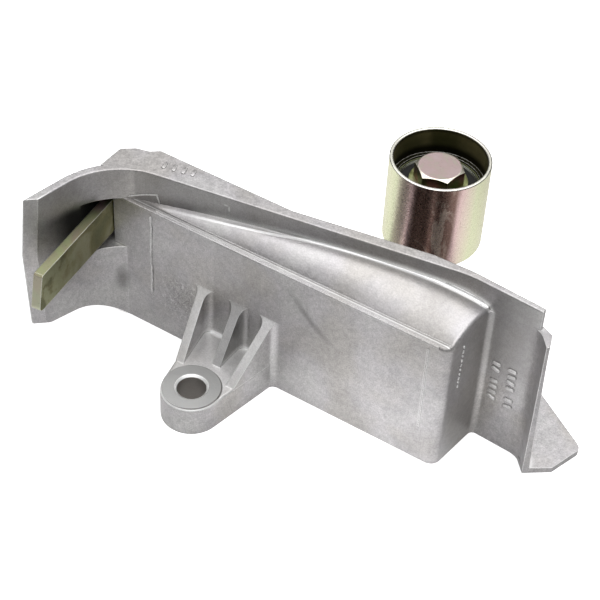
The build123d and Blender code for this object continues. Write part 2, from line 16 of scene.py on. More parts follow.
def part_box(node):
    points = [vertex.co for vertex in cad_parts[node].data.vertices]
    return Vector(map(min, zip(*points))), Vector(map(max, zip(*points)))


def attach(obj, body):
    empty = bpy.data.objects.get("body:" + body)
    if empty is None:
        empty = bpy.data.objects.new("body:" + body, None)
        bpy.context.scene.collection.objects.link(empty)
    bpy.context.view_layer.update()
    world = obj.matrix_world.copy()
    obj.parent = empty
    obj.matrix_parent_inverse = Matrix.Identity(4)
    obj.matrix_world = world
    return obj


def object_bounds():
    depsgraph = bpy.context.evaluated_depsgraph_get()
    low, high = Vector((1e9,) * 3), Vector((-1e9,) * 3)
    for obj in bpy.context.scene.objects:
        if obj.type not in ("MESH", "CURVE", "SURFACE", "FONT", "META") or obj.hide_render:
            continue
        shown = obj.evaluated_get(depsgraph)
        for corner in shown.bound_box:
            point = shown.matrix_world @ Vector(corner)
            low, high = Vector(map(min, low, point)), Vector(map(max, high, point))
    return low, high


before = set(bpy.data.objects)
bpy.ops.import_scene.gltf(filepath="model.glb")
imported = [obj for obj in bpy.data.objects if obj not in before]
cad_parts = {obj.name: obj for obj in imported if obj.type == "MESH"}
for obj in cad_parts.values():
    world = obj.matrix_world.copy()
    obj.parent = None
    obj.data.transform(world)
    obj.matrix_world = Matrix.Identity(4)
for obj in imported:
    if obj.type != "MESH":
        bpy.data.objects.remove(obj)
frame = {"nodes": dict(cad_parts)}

Colour = tuple[float, float, float]
Range = tuple[float, float]
Stops = tuple[tuple[float, Colour], ...]
Socket = bpy.types.NodeSocket
Material = bpy.types.Material
Object = bpy.types.Object

LOG = logging.getLogger("tensioner")
MM = 0.001
UP = Vector((0.0, 0.0, 1.0))
WHITE: Colour = (1.0, 1.0, 1.0)
EDGE_TURN: Range = (0.88, 0.99)
ALIGNED = 0.9
SAMPLES = 6
CAD_BOX = [list(corner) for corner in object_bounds()]


def mm(*lengths: float) -> tuple[float, ...]:
    """Return lengths given in millimetres."""
    return tuple(length * MM for length in lengths)


class Axis(Enum):
    """Outputs of a Separate XYZ node, by name."""

    X = "X"
    Y = "Y"
    Z = "Z"


@dataclass(frozen=True)
class Pattern:
    """A noise pattern: its largest patches, its finer layers, its density by axis and its warp."""

    size: float
    detail: float = 3.0
    roughness: float = 0.55
    stretch: Colour = WHITE
    distortion: float = 0.0


@dataclass(frozen=True)
class Tone:
    """How much a pattern darkens and lightens a colour over a span of its values."""

    span: Range
    light: Range


@dataclass(frozen=True)
class Zone:
    """Where something shows: the spans of places and normals over which it fades, and its share there."""

    share: float = 1.0
    right: Range | None = None
    left: Range | None = None
    behind: Range | None = None
    before: Range | None = None
    above: Range | None = None
    below: Range | None = None
    rightward: Range | None = None
    forward: Range | None = None
    level: Range | None = None
    steep: Range | None = None


class Shader:
    """One node material, built node by node on Object coordinates."""

    def __init__(self, name: str) -> None:
        """Start an empty material.

        Args:
            name: The material's name.
        """
        self.material = bpy.data.materials.new(name)
        self.material.use_nodes = True
        self.tree = self.material.node_tree
        self.tree.nodes.clear()
        self.surface = self.node("ShaderNodeBsdfPrincipled", {})
        self.output = self.node("ShaderNodeOutputMaterial", {"Surface": self.surface.outputs["BSDF"]})
        self.place = self.node("ShaderNodeTexCoord", {}).outputs["Object"]
        self.geometry = self.node("ShaderNodeNewGeometry", {})
        self.places = self.node("ShaderNodeSeparateXYZ", {0: self.place})
        self.normals = self.node("ShaderNodeSeparateXYZ", {0: self.geometry.outputs["Normal"]})

    def node(self, kind: str, inputs: dict[str | int, object], **settings: object) -> bpy.types.Node:
        """Add a node.

        Args:
            kind: Blender's name for its type.
            inputs: Sockets, numbers and colours by the input that takes them.
            settings: Its own settings by name.

        Returns:
            The node.
        """
        node = self.tree.nodes.new(kind)
        for key, value in settings.items():
            setattr(node, key, value)
        for key, value in inputs.items():
            self.put(value, node.inputs[key])
        return node

    def put(self, value: object, socket: Socket) -> None:
        """Link a socket, or set a number or colour.

        Args:
            value: A socket, number or colour.
            socket: The input that takes it.
        """
        if isinstance(value, Socket):
            self.tree.links.new(value, socket)
        elif isinstance(value, tuple) and socket.type == "RGBA":
            socket.default_value = (*value, 1.0)
        else:
            socket.default_value = value

    def constant(self, **values: float | Colour) -> None:
        """Set the shader's own sockets by name, with underscores for spaces."""
        for key, value in values.items():
            self.put(value, self.surface.inputs[key.replace("_", " ")])

    def feed(self, value: Socket, name: str) -> None:
        """Link a value to one of the shader's sockets."""
        self.put(value, self.surface.inputs[name])

    def along(self, axis: Axis) -> Socket:
        """Return one Object coordinate in metres."""
        return self.places.outputs[axis.value]

    def facing(self, axis: Axis) -> Socket:
        """Return one part of the surface's own normal, from -1 to 1."""
        return self.normals.outputs[axis.value]

    def math(self, operation: str, first: object, second: object = 0.0, clamp: bool = False) -> Socket:
        """Add a Math node, whose result stays between 0 and 1 where it is clamped."""
        inputs = {0: first, 1: second}
        return self.node("ShaderNodeMath", inputs, operation=operation, use_clamp=clamp).outputs[0]

    def noise(self, pattern: Pattern) -> Socket:
        """Add a noise pattern.

        Args:
            pattern: The pattern.

        Returns:
            Its value, about 0 to 1.
        """
        scale = tuple(s / pattern.size for s in pattern.stretch)
        inputs = {
            "Vector": self.node("ShaderNodeMapping", {"Vector": self.place, "Scale": scale}).outputs[0],
            "Scale": 1.0,
            "Detail": pattern.detail,
            "Roughness": pattern.roughness,
            "Distortion": pattern.distortion,
        }
        return self.node("ShaderNodeTexNoise", inputs).outputs["Fac"]

    def remap(self, value: Socket, span: Range, results: Range) -> Socket:
        """Map a span of values smoothly to another, clamped at both ends.

        Args:
            value: The value to map.
            span: The values that give the two results.
            results: The result at either end.

        Returns:
            The mapped value.
        """
        names = ("From Min", "From Max", "To Min", "To Max")
        inputs = {"Value": value, **dict(zip(names, (*span, *results)))}
        return self.node("ShaderNodeMapRange", inputs, interpolation_type="SMOOTHSTEP").outputs["Result"]

    def rising(self, value: Socket, span: Range, most: float = 1.0) -> Socket:
        """Return 0 before a span of values and the most after it."""
        return self.remap(value, span, (0.0, most))

    def falling(self, value: Socket, span: Range, most: float = 1.0) -> Socket:
        """Return the most before a span of values and 0 after it."""
        return self.remap(value, span, (most, 0.0))

    def ramp(self, value: Socket, stops: Stops) -> Socket:
        """Colour a value by stops.

        Args:
            value: A value from 0 to 1.
            stops: Places and their colours, in order.

        Returns:
            The colour.
        """
        node = self.node("ShaderNodeValToRGB", {0: value})
        elements = node.color_ramp.elements
        while len(elements) < len(stops):
            elements.new(0.5)
        for element, (place, colour) in zip(elements, stops):
            element.position = place
            element.color = (*colour, 1.0)
        return node.outputs["Color"]

    def blend(self, share: object, first: object, second: object, mode: str = "MIX") -> Socket:
        """Mix two colours.

        Args:
            share: Share of the second colour.
            first: First colour or socket.
            second: Second colour or socket.
            mode: Blender's name for the way they mix.

        Returns:
            The mixed colour.
        """
        node = self.node("ShaderNodeMix", {0: share}, data_type="RGBA", blend_type=mode)
        takers = [socket for socket in node.inputs if socket.type == "RGBA"]
        for colour, taker in zip((first, second), takers):
            self.put(colour, taker)
        return next(socket for socket in node.outputs if socket.type == "RGBA")

    def grey(self, value: Socket) -> Socket:
        """Turn a value into a grey."""
        return self.node("ShaderNodeCombineColor", {part: value for part in range(3)}).outputs[0]

    def toned(self, colour: Socket, pattern: Socket, tone: Tone) -> Socket:
        """Return a colour that a pattern darkens and lightens."""
        return self.blend(1.0, colour, self.grey(self.remap(pattern, tone.span, tone.light)), "MULTIPLY")

    def length(self, across: Socket, along: Socket) -> Socket:
        """Return the length of a way given by its two parts."""
        squares = [self.math("MULTIPLY", part, part) for part in (across, along)]
        return self.math("SQRT", self.math("ADD", *squares))

    def distance(self, x: float, y: float) -> Socket:
        """Return the distance from an upright axis.

        Args:
            x: The axis's place along X.
            y: The axis's place along Y.

        Returns:
            The distance.
        """
        across = self.math("SUBTRACT", self.along(Axis.X), x)
        away = self.math("SUBTRACT", self.along(Axis.Y), y)
        return self.length(across, away)

    def spot(self, centre: Vector, reach: Colour, soft: float) -> Socket:
        """Return a soft spot that is 1 inside an ellipsoid and 0 outside.

        Args:
            centre: The spot's centre.
            reach: Its half sizes along each axis.
            soft: Share of it over which it fades.

        Returns:
            The mask.
        """
        inputs = {
            "Vector": self.place,
            "Location": tuple(-c / r for c, r in zip(centre, reach)),
            "Scale": tuple(1.0 / r for r in reach),
        }
        mapped = self.node("ShaderNodeMapping", inputs, vector_type="POINT").outputs[0]
        far = self.node("ShaderNodeVectorMath", {0: mapped}, operation="LENGTH").outputs["Value"]
        return self.falling(far, (1.0 - soft, 1.0))

    def rounded(self, radius: float) -> Socket:
        """Return normals that round every edge by a radius."""
        return self.node("ShaderNodeBevel", {"Radius": radius}, samples=SAMPLES).outputs["Normal"]

    def edge_mask(self, radius: float) -> Socket:
        """Return 1 along edges and 0 on open faces.

        Args:
            radius: How far the mask reaches from an edge.

        Returns:
            The mask.
        """
        normals = {0: self.rounded(radius), 1: self.geometry.outputs["True Normal"]}
        dot = self.node("ShaderNodeVectorMath", normals, operation="DOT_PRODUCT").outputs["Value"]
        return self.falling(dot, EDGE_TURN)

    def openness(self, reach: float, alone: bool = True) -> Socket:
        """Return 1 on open faces and less in a corner.

        Args:
            reach: How far off a neighbouring face still counts.
            alone: Whether only faces of the same piece count.

        Returns:
            The mask.
        """
        settings = {"samples": SAMPLES, "only_local": alone}
        return self.node("ShaderNodeAmbientOcclusion", {"Distance": reach}, **settings).outputs["AO"]

    def path(self, value: Socket, points: tuple[Range, ...]) -> Socket:
        """Map a value through a smooth curve.

        Args:
            value: The value to map.
            points: Values and their results, in order.

        Returns:
            The mapped value.
        """
        first, last = points[0][0], points[-1][0]
        results = [result for _, result in points]
        low, high = min(results), max(results)
        share = self.math("DIVIDE", self.math("SUBTRACT", value, first), last - first, clamp=True)
        node = self.node("ShaderNodeFloatCurve", {"Value": share})
        curve = node.mapping.curves[0]
        while len(curve.points) < len(points):
            curve.points.new(0.5, 0.5)
        for point, (place, result) in zip(curve.points, points):
            point.location = ((place - first) / (last - first), (result - low) / (high - low))
        node.mapping.update()
        return self.math("ADD", self.math("MULTIPLY", node.outputs[0], high - low), low)

    def both(self, first: Socket, *masks: Socket | float) -> Socket:
        """Multiply masks and shares.

        Args:
            first: The first mask.
            masks: The others.

        Returns:
            Their product.
        """
        product = first
        for mask in masks:
            product = self.math("MULTIPLY", product, mask)
        return product

    def either(self, first: Socket, *masks: Socket) -> Socket:
        """Take the strongest of some masks.

        Args:
            first: The first mask.
            masks: The others.

        Returns:
            The strongest.
        """
        strongest = first
        for mask in masks:
            strongest = self.math("MAXIMUM", strongest, mask)
        return strongest

    def zone(self, zone: Zone) -> Socket:
        """Return the mask of a zone.

        Args:
            zone: The zone.

        Returns:
            The mask.
        """
        x, y, z = (self.along(axis) for axis in Axis)
        sideways, away, rise = (self.facing(axis) for axis in Axis)
        fades = (
            (self.rising, x, zone.right), (self.falling, x, zone.left),
            (self.rising, y, zone.behind), (self.falling, y, zone.before),
            (self.rising, z, zone.above), (self.falling, z, zone.below),
            (self.rising, sideways, zone.rightward), (self.falling, away, zone.forward),
            (self.rising, rise, zone.level), (self.falling, rise, zone.steep),
        )
        return self.both(*(fade(value, span) for fade, value, span in fades if span), zone.share)

    def relief(self, heights: tuple[tuple[Socket, float], ...], normal: Socket) -> None:
        """Stack bumps on the surface.

        Args:
            heights: Patterns and their depths in metres.
            normal: Normals to start from.
        """
        for height, depth in heights:
            inputs = {"Strength": 1.0, "Distance": depth, "Height": height, "Normal": normal}
            normal = self.node("ShaderNodeBump", inputs).outputs["Normal"]
        self.feed(normal, "Normal")


@dataclass(frozen=True)
class CastAluminium:
    """Pressure die cast aluminium, shot and tumbled, with a machined seat round the mounting hole; shade and
    highlights are painted into its colour.
    """

    name: str = "cast_aluminium"
    pale: Colour = (0.50, 0.492, 0.488)
    lilac: Colour = (0.455, 0.440, 0.448)
    brown: Colour = (0.42, 0.402, 0.388)
    # Pale colour of painted highlights, and of the light flakes in the peeled patch.
    bright: Colour = (0.92, 0.92, 0.91)
    # Colour of the painted shade inside the mounting hole.
    bore: Colour = (0.26, 0.24, 0.22)
    turned_face: Colour = (0.36, 0.36, 0.355)
    # Near-black of the painted shadow behind the guide strip.
    painted_shadow: Colour = (0.02, 0.02, 0.018)
    # Dark colour of real dirt (flow mark, smudge, veins) and of painted shade (guard wall, end wall, pockets,
    # ledge, creases, the seat's edge).
    dirt_and_shade: Colour = (0.17, 0.165, 0.16)
    metal_share: float = 0.6
    rough: Range = (0.28, 0.42)
    patches: Pattern = Pattern(30 * MM, 2.0, 0.5)
    patch_span: Range = (0.34, 0.66)
    clouds: Pattern = Pattern(17 * MM, 4.0, 0.6, distortion=0.8)
    cloud_tone: Tone = Tone((0.30, 0.55), (0.90, 1.02))
    mottle: Pattern = Pattern(1.9 * MM, 4.0, 0.62)
    mottle_tone: Tone = Tone((0.34, 0.66), (0.90, 1.06))
    mottle_depth: float = 0.08 * MM
    grain: Pattern = Pattern(0.55 * MM, 2.0, 0.7)
    grain_tone: Tone = Tone((0.30, 0.70), (0.81, 1.15))
    grain_depth: float = 0.05 * MM
    groove: float = 0.35 * MM
    groove_depth: float = 0.003 * MM

    edge_radius: float = 0.48 * MM
    # Painted highlights in hollow roots, lighter edges that are partly wear and partly painted highlight, and
    # painted shade in creases.
    root_reach: float = 2.6 * MM
    root_span: Range = (0.64, 0.93)
    root_share: float = 0.5
    worn_highlight_span: Range = (0.80, 0.95)
    worn_highlight_share: float = 0.95
    crease_reach: float = 0.55 * MM
    crease_span: Range = (0.48, 0.76)
    crease_share: float = 0.85

    # The hole, with painted shade inside; the machined seat; a painted shadow line at its edge; painted
    # highlights on the chamfers.
    hole_rim: Range = mm(5.25, 5.3)
    hole_dark: float = 0.8
    chamfer_rim: Range = mm(6.1, 6.355)
    seat_rim: Range = mm(10.4, 10.5)
    seat_front_rim: Range = mm(10.2, 10.5)
    step_rims: tuple[Range, Range] = (mm(10.25, 10.45), mm(10.75, 10.95))
    seat_top: Zone = Zone(above=mm(12.2, 12.3))
    seat_edge: Zone = Zone(0.85, above=mm(11.0, 11.2), right=mm(-4, 7))
    seat_slope: Zone = Zone(level=(0.3, 0.5), steep=(0.90, 0.97), above=mm(11.0, 11.2))
    seat_front: Range = mm(-3, 4)

    roof: Zone = Zone(0.4, level=(0.3, 0.6), above=mm(50, 53), below=mm(66, 67), behind=mm(29, 31))
    # Painted shade on the guard wall, its bend, the end wall and the ear's pockets.
    guard: Zone = Zone(forward=(-0.9, -0.6), above=mm(22, 44))
    guard_off: Range = mm(-0.9, -0.1)
    guard_shade: float = 0.58
    bend_shade: Zone = Zone(0.8, left=mm(-50, -42), above=mm(42, 62), steep=(0.3, 0.5))
    end: Zone = Zone(rightward=(0.85, 0.97), right=mm(70, 80))
    end_shade: float = 0.30
    pocket_shade: Zone = Zone(
        0.62, right=mm(-10.2, -9.5), left=mm(9.5, 10.2), before=mm(26, 27.5), behind=mm(11, 14),
        above=mm(12, 13), steep=(0.05, 0.3),
    )
    # Painted highlight on the ear's upward faces.
    ear_top_highlight: Zone = Zone(
        0.36, right=mm(-18, -17), left=mm(17, 18), before=mm(26, 27.5), level=(0.25, 0.5),
    )
    # Painted shade on the ledge, and a painted highlight line along it.
    ledge_shade: Zone = Zone(
        0.5, level=(0.5, 0.8), above=mm(54, 55), below=mm(58, 59), behind=mm(27.7, 28.0),
        before=mm(29.6, 30.2),
    )
    ledge_highlight: Zone = Zone(
        0.5, level=(0.5, 0.8), above=mm(54, 55), below=mm(58, 59), behind=mm(28.3, 28.5),
        before=mm(28.7, 28.9),
    )
    past_ledge: tuple[Zone, ...] = (
        Zone(behind=mm(33, 35)), Zone(below=mm(53, 54.5)), Zone(right=mm(81, 83)),
    )
    # Where the painted shadow behind the guide strip lies in the guard wall's window.
    window_shadow: Zone = Zone(0.94, behind=mm(-5, 11), left=mm(-56.5, -54), below=mm(54, 60), above=mm(34, 41))
    window_shadow_facing: Range = (0.05, 0.3)

    root_line: tuple[Range, ...] = (
        mm(-42.7, 29.1), mm(0.0, 35.2), mm(27.6, 41.6), mm(52.7, 45.8), mm(74.0, 48.3), mm(85.2, 48.6),
    )
    # Where the painted highlight along the crown's root shows.
    root_zone: Zone = Zone(0.9, level=(0.15, 0.45), below=mm(66, 67), right=mm(-40, 10), left=mm(84.0, 85.2))
    root_width_x: Range = mm(-10, 60)
    root_widths: Range = (0.55, 1.35)
    root_off: Range = mm(0.5, 1.0)

    flow: Zone = Zone(
        0.62, above=mm(29.0, 40.5), below=mm(40.5, 52.0), before=mm(27.2, 27.6), left=mm(65, 70),
    )
    flow_centre: Range = mm(70.0, 84.0)
    flow_radius: float = 59.2 * MM
    flow_off: Range = mm(0.1, 2.2)
    soft: float = 0.9
    smudge: Vector = Vector((-49.8, 26.0, 18.0)) * MM
    smudge_reach: Colour = mm(4.0, 4.5, 9.0)
    smudge_share: float = 0.75
    peel: Vector = Vector((-24.0, 27.0, 20.0)) * MM
    peel_reach: Colour = mm(17.0, 4.0, 17.0)
    peel_depth: float = 0.6 * MM
    crackle: Pattern = Pattern(1.3 * MM, 3.0, 0.6, distortion=0.8)
    vein_span: Range = (0.0, 0.05)
    vein_share: float = 0.75
    flake_span: Range = (0.56, 0.64)
    flake_share: float = 0.4
    glint_soft: float = 0.5
    # Painted highlights: crescents at the back of the ear's pockets and a scratch on the guard wall.
    glints: tuple[tuple[Vector, Colour, float], ...] = (
        (Vector((-7.8, 26.9, 12.2)) * MM, mm(3.9, 1.9, 1.1), 0.9),
        (Vector((6.8, 26.9, 12.2)) * MM, mm(3.3, 1.9, 1.1), 0.9),
        (Vector((-10.9, 35.4, 65.4)) * MM, mm(1.1, 1.5, 0.45), 0.22),
        (Vector((-9.7, 35.6, 64.1)) * MM, mm(0.45, 1.5, 1.5), 0.26),
    )

    def make(self) -> Material:
        """Build the material.

        Returns:
            The finished material.
        """
        shader = Shader(self.name)
        mottle = shader.noise(self.mottle)
        grain = shader.noise(self.grain)
        crackle = shader.noise(self.crackle)
        peeled = shader.spot(self.peel, self.peel_reach, self.soft)
        colour = self.shades(shader, self.skin(shader, mottle, grain))
        colour = self.corners(shader, colour)
        smudge = shader.both(shader.spot(self.smudge, self.smudge_reach, self.soft), self.smudge_share)
        off_vein = shader.math("ABSOLUTE", shader.math("SUBTRACT", crackle, 0.5))
        veins = shader.both(peeled, shader.falling(off_vein, self.vein_span, self.vein_share))
        flakes = shader.both(peeled, shader.rising(crackle, self.flake_span, self.flake_share))
        for dirt_and_shade_mask in (self.flow_mark(shader), smudge, veins):
            colour = shader.blend(dirt_and_shade_mask, colour, self.dirt_and_shade)
        colour = self.ear(shader, shader.blend(flakes, colour, self.bright))
        # Painted shadow: near-black in the window behind the guide strip, on faces that turn inwards.
        inwards = shader.math("SUBTRACT", shader.facing(Axis.X), shader.facing(Axis.Y))
        corner = shader.both(shader.zone(self.window_shadow), shader.rising(inwards, self.window_shadow_facing))
        shader.feed(shader.blend(corner, colour, self.painted_shadow), "Base Color")
        shader.feed(shader.remap(grain, self.grain_tone.span, self.rough), "Roughness")
        shader.constant(Metallic=self.metal_share)
        rings = shader.math("SINE", shader.both(shader.distance(0.0, 0.0), 2 * math.pi / self.groove))
        heights = (
            (mottle, self.mottle_depth),
            (grain, self.grain_depth),
            (shader.both(crackle, peeled), self.peel_depth),
            (shader.both(rings, self.seat(shader)), self.groove_depth),
        )
        shader.relief(heights, shader.rounded(self.edge_radius))
        return shader.material

    def skin(self, shader: Shader, mottle: Socket, grain: Socket) -> Socket:
        """Colour the cast skin: slow tints, darker clouds, mottle and grain, calmer on the crown's roof.

        Args:
            shader: The material being built.
            mottle: Pattern of a few millimetres.
            grain: Finest pattern.

        Returns:
            The colour.
        """
        share = shader.rising(shader.noise(self.patches), self.patch_span)
        tints = shader.ramp(share, ((0.0, self.brown), (0.5, self.lilac), (1.0, self.pale)))
        plain = shader.toned(tints, shader.noise(self.clouds), self.cloud_tone)
        colour = shader.toned(shader.toned(plain, mottle, self.mottle_tone), grain, self.grain_tone)
        return shader.blend(shader.zone(self.roof), colour, plain)

    def shades(self, shader: Shader, colour: Socket) -> Socket:
        """Paint shade on the guard wall, its bend, the end wall, the ear's pockets and the ledge, and paint
        highlights on a line along the ledge and on the ear's tops.

        Args:
            shader: The material being built.
            colour: The colour so far.

        Returns:
            The colour.
        """
        # Painted shade: darker guard wall, bend, end wall and ear pockets.
        behind = shader.rising(self.off_root(shader), self.guard_off)
        guard = shader.both(shader.zone(self.guard), behind, self.guard_shade)
        bend_shade = shader.both(shader.zone(self.bend_shade), self.guard_shade)
        end = shader.both(shader.zone(self.end), self.end_shade)
        painted_shade = shader.either(guard, bend_shade, end, shader.zone(self.pocket_shade))
        # Painted shade on the ledge.
        for dirt_and_shade_mask in (painted_shade, shader.zone(self.ledge_shade)):
            colour = shader.blend(dirt_and_shade_mask, colour, self.dirt_and_shade)
        # Painted highlights: a line along the ledge and the ear's tops.
        for zone in (self.ledge_highlight, self.ear_top_highlight):
            colour = shader.blend(shader.zone(zone), colour, self.bright)
        return colour

    def corners(self, shader: Shader, colour: Socket) -> Socket:
        """Lighten the edges, partly as wear and partly as painted highlight, paint highlights in the hollow
        roots, and paint shade in the sharp creases and where parts meet.

        Args:
            shader: The material being built.
            colour: The colour so far.

        Returns:
            The colour.
        """
        wide = shader.openness(self.root_reach)
        edges = shader.edge_mask(self.edge_radius)
        # Lighter edges: partly wear, partly painted highlight.
        worn_highlight = shader.both(edges, shader.rising(wide, self.worn_highlight_span), self.worn_highlight_share)
        # Painted highlight in hollow roots away from the ledge.
        off_ledge = shader.either(*(shader.zone(zone) for zone in self.past_ledge))
        root = shader.both(shader.falling(wide, self.root_span), off_ledge, self.root_share)
        # Painted shade in sharp creases and where parts meet.
        tight = shader.openness(self.crease_reach, alone=False)
        crease = shader.falling(tight, self.crease_span, self.crease_share)
        for share, paint in ((root, self.bright), (worn_highlight, self.bright), (crease, self.dirt_and_shade)):
            colour = shader.blend(share, colour, paint)
        # Painted highlight along the crown's root.
        colour = shader.blend(self.root_highlight(shader), colour, WHITE)
        # Painted highlights: the glints.
        for centre, reach, share in self.glints:
            glint = shader.both(shader.spot(centre, reach, self.glint_soft), share)
            colour = shader.blend(glint, colour, WHITE)
        return colour

    def off_root(self, shader: Shader) -> Socket:
        """Return how far behind the crown's root a point lies."""
        root = shader.path(shader.along(Axis.X), self.root_line)
        return shader.math("SUBTRACT", shader.along(Axis.Y), root)

    def root_highlight(self, shader: Shader) -> Socket:
        """Return a mask of the painted highlight along the root where the crown meets the guard wall.

        Args:
            shader: The material being built.

        Returns:
            The mask.
        """
        off = shader.math("ABSOLUTE", self.off_root(shader))
        width = shader.remap(shader.along(Axis.X), self.root_width_x, self.root_widths)
        band = shader.falling(shader.math("DIVIDE", off, width), self.root_off)
        return shader.both(band, shader.zone(self.root_zone))

    def ear(self, shader: Shader, colour: Socket) -> Socket:
        """Colour the machined seat, and paint a shadow line at its edge, shade inside the hole and highlights
        on the hole's chamfer and the seat's front edge.

        Args:
            shader: The material being built.
            colour: The colour so far.

        Returns:
            The colour.
        """
        away = shader.distance(0.0, 0.0)
        slope = shader.zone(self.seat_slope)
        # Painted shadow line at the seat's edge.
        step = shader.both(
            shader.rising(away, self.step_rims[0]),
            shader.falling(away, self.step_rims[1]),
            shader.zone(self.seat_edge),
        )
        # Painted shade inside the hole.
        inside = shader.falling(away, self.hole_rim, self.hole_dark)
        # Painted highlights on the hole's chamfer and the seat's front edge.
        rim_highlight = shader.both(slope, shader.falling(away, self.chamfer_rim))
        front = shader.both(
            slope,
            shader.rising(away, self.seat_front_rim),
            shader.falling(shader.along(Axis.Y), self.seat_front),
        )
        coats = (
            (self.seat(shader), self.turned_face),
            (step, self.dirt_and_shade),
            (inside, self.bore),
            (rim_highlight, self.bright),
            (front, self.bright),
        )
        for share, paint in coats:
            colour = shader.blend(share, colour, paint)
        return colour

    def seat(self, shader: Shader) -> Socket:
        """Return a mask of the machined seat round the mounting hole."""
        near = shader.falling(shader.distance(0.0, 0.0), self.seat_rim)
        return shader.both(near, shader.zone(self.seat_top))

    def flow_mark(self, shader: Shader) -> Socket:
        """Return a mask of the dark curved flow mark on the front wall.

        Args:
            shader: The material being built.

        Returns:
            The mask.
        """
        x, z = self.flow_centre
        across = shader.math("SUBTRACT", shader.along(Axis.X), x)
        up = shader.math("SUBTRACT", shader.along(Axis.Z), z)
        off = shader.math("ABSOLUTE", shader.math("SUBTRACT", shader.length(across, up), self.flow_radius))
        return shader.both(shader.falling(off, self.flow_off), shader.zone(self.flow))


@dataclass(frozen=True)
class Passivation:
    """Yellow zinc passivation on steel: olive, straw and pink that run into each other."""

    name: str
    stops: Stops
    patch: float
    stretch: Colour = WHITE
    drift_span: Range = (0.3, 0.7)
    rough: Range = (0.22, 0.34)
    edge_radius: float = 0.3 * MM
    # Lighter edges: partly wear, partly painted highlight.
    edge: Colour = (0.86, 0.85, 0.80)
    edge_share: float = 0.6
    speck: Pattern = Pattern(0.9 * MM, 3.0, 0.7)
    speck_span: Range = (0.60, 0.74)
    speck_share: float = 0.35
    speck_dark: Colour = (0.16, 0.13, 0.10)
    grain_depth: float = 0.02 * MM
    # Top faces: lighter tints, partly painted light from above.
    upper: Stops = ()
    upper_zone: Zone = Zone(level=(0.5, 0.8))
    # Chamfer colour: painted highlight.
    slope: Colour | None = None
    slope_zone: Zone = Zone(level=(0.55, 0.7), steep=(0.93, 0.98))
    nose: Colour | None = None
    nose_pink: Colour = (0.50, 0.40, 0.34)
    nose_zone: Zone = Zone(forward=(-0.9, -0.7))
    rubbed: Colour | None = None
    rubbed_from: Range = (0.0, 0.0)
    rubbed_patches: Pattern = Pattern(6 * MM, 3.0, 0.6)
    rubbed_span: Range = (0.38, 0.56)
    rubbed_share: float = 0.75

    def make(self) -> Material:
        """Build the material.

        Returns:
            The finished material.
        """
        shader = Shader(self.name)
        drift = shader.noise(Pattern(self.patch, 3.0, 0.5, self.stretch, 0.6))
        speck = shader.noise(self.speck)
        colour = self.tint(shader, drift)
        specks = shader.rising(speck, self.speck_span, self.speck_share)
        colour = shader.blend(specks, colour, self.speck_dark)
        # Lighter edges: partly wear, partly painted highlight.
        worn_highlight = shader.both(shader.edge_mask(self.edge_radius), self.edge_share)
        shader.feed(shader.blend(worn_highlight, colour, self.edge), "Base Color")
        shader.feed(self.sheen(shader, speck), "Roughness")
        shader.constant(Metallic=1.0)
        shader.relief(self.bumps(shader, speck), shader.rounded(self.edge_radius))
        return shader.material

    def sheen(self, shader: Shader, speck: Socket) -> Socket:
        """Return how rough the coat is."""
        return shader.remap(speck, self.drift_span, self.rough)

    def bumps(self, shader: Shader, speck: Socket) -> tuple[tuple[Socket, float], ...]:
        """Return the patterns that stand out of the surface, with their depths."""
        return ((speck, self.grain_depth),)

    def tint(self, shader: Shader, drift: Socket) -> Socket:
        """Return the colour of the coat, with lighter tints on top faces, partly the coat's and partly painted
        light from above, and a painted highlight on chamfers.

        Args:
            shader: The material being built.
            drift: The slow pattern that the tints follow.

        Returns:
            The colour.
        """
        share = shader.rising(drift, self.drift_span)
        colour = shader.ramp(share, self.stops)
        if self.rubbed:
            front = shader.falling(shader.along(Axis.Y), self.rubbed_from, self.rubbed_share)
            patch = shader.rising(shader.noise(self.rubbed_patches), self.rubbed_span)
            colour = shader.blend(shader.both(front, patch), colour, self.rubbed)
        # Top faces lighter: partly painted light from above.
        if self.upper:
            colour = shader.blend(shader.zone(self.upper_zone), colour, shader.ramp(share, self.upper))
        # Painted highlight on chamfers.
        if self.slope:
            colour = shader.blend(shader.zone(self.slope_zone), colour, self.slope)
        if self.nose:
            ahead = shader.blend(share, self.nose, self.nose_pink)
            colour = shader.blend(shader.zone(self.nose_zone), colour, ahead)
        return colour


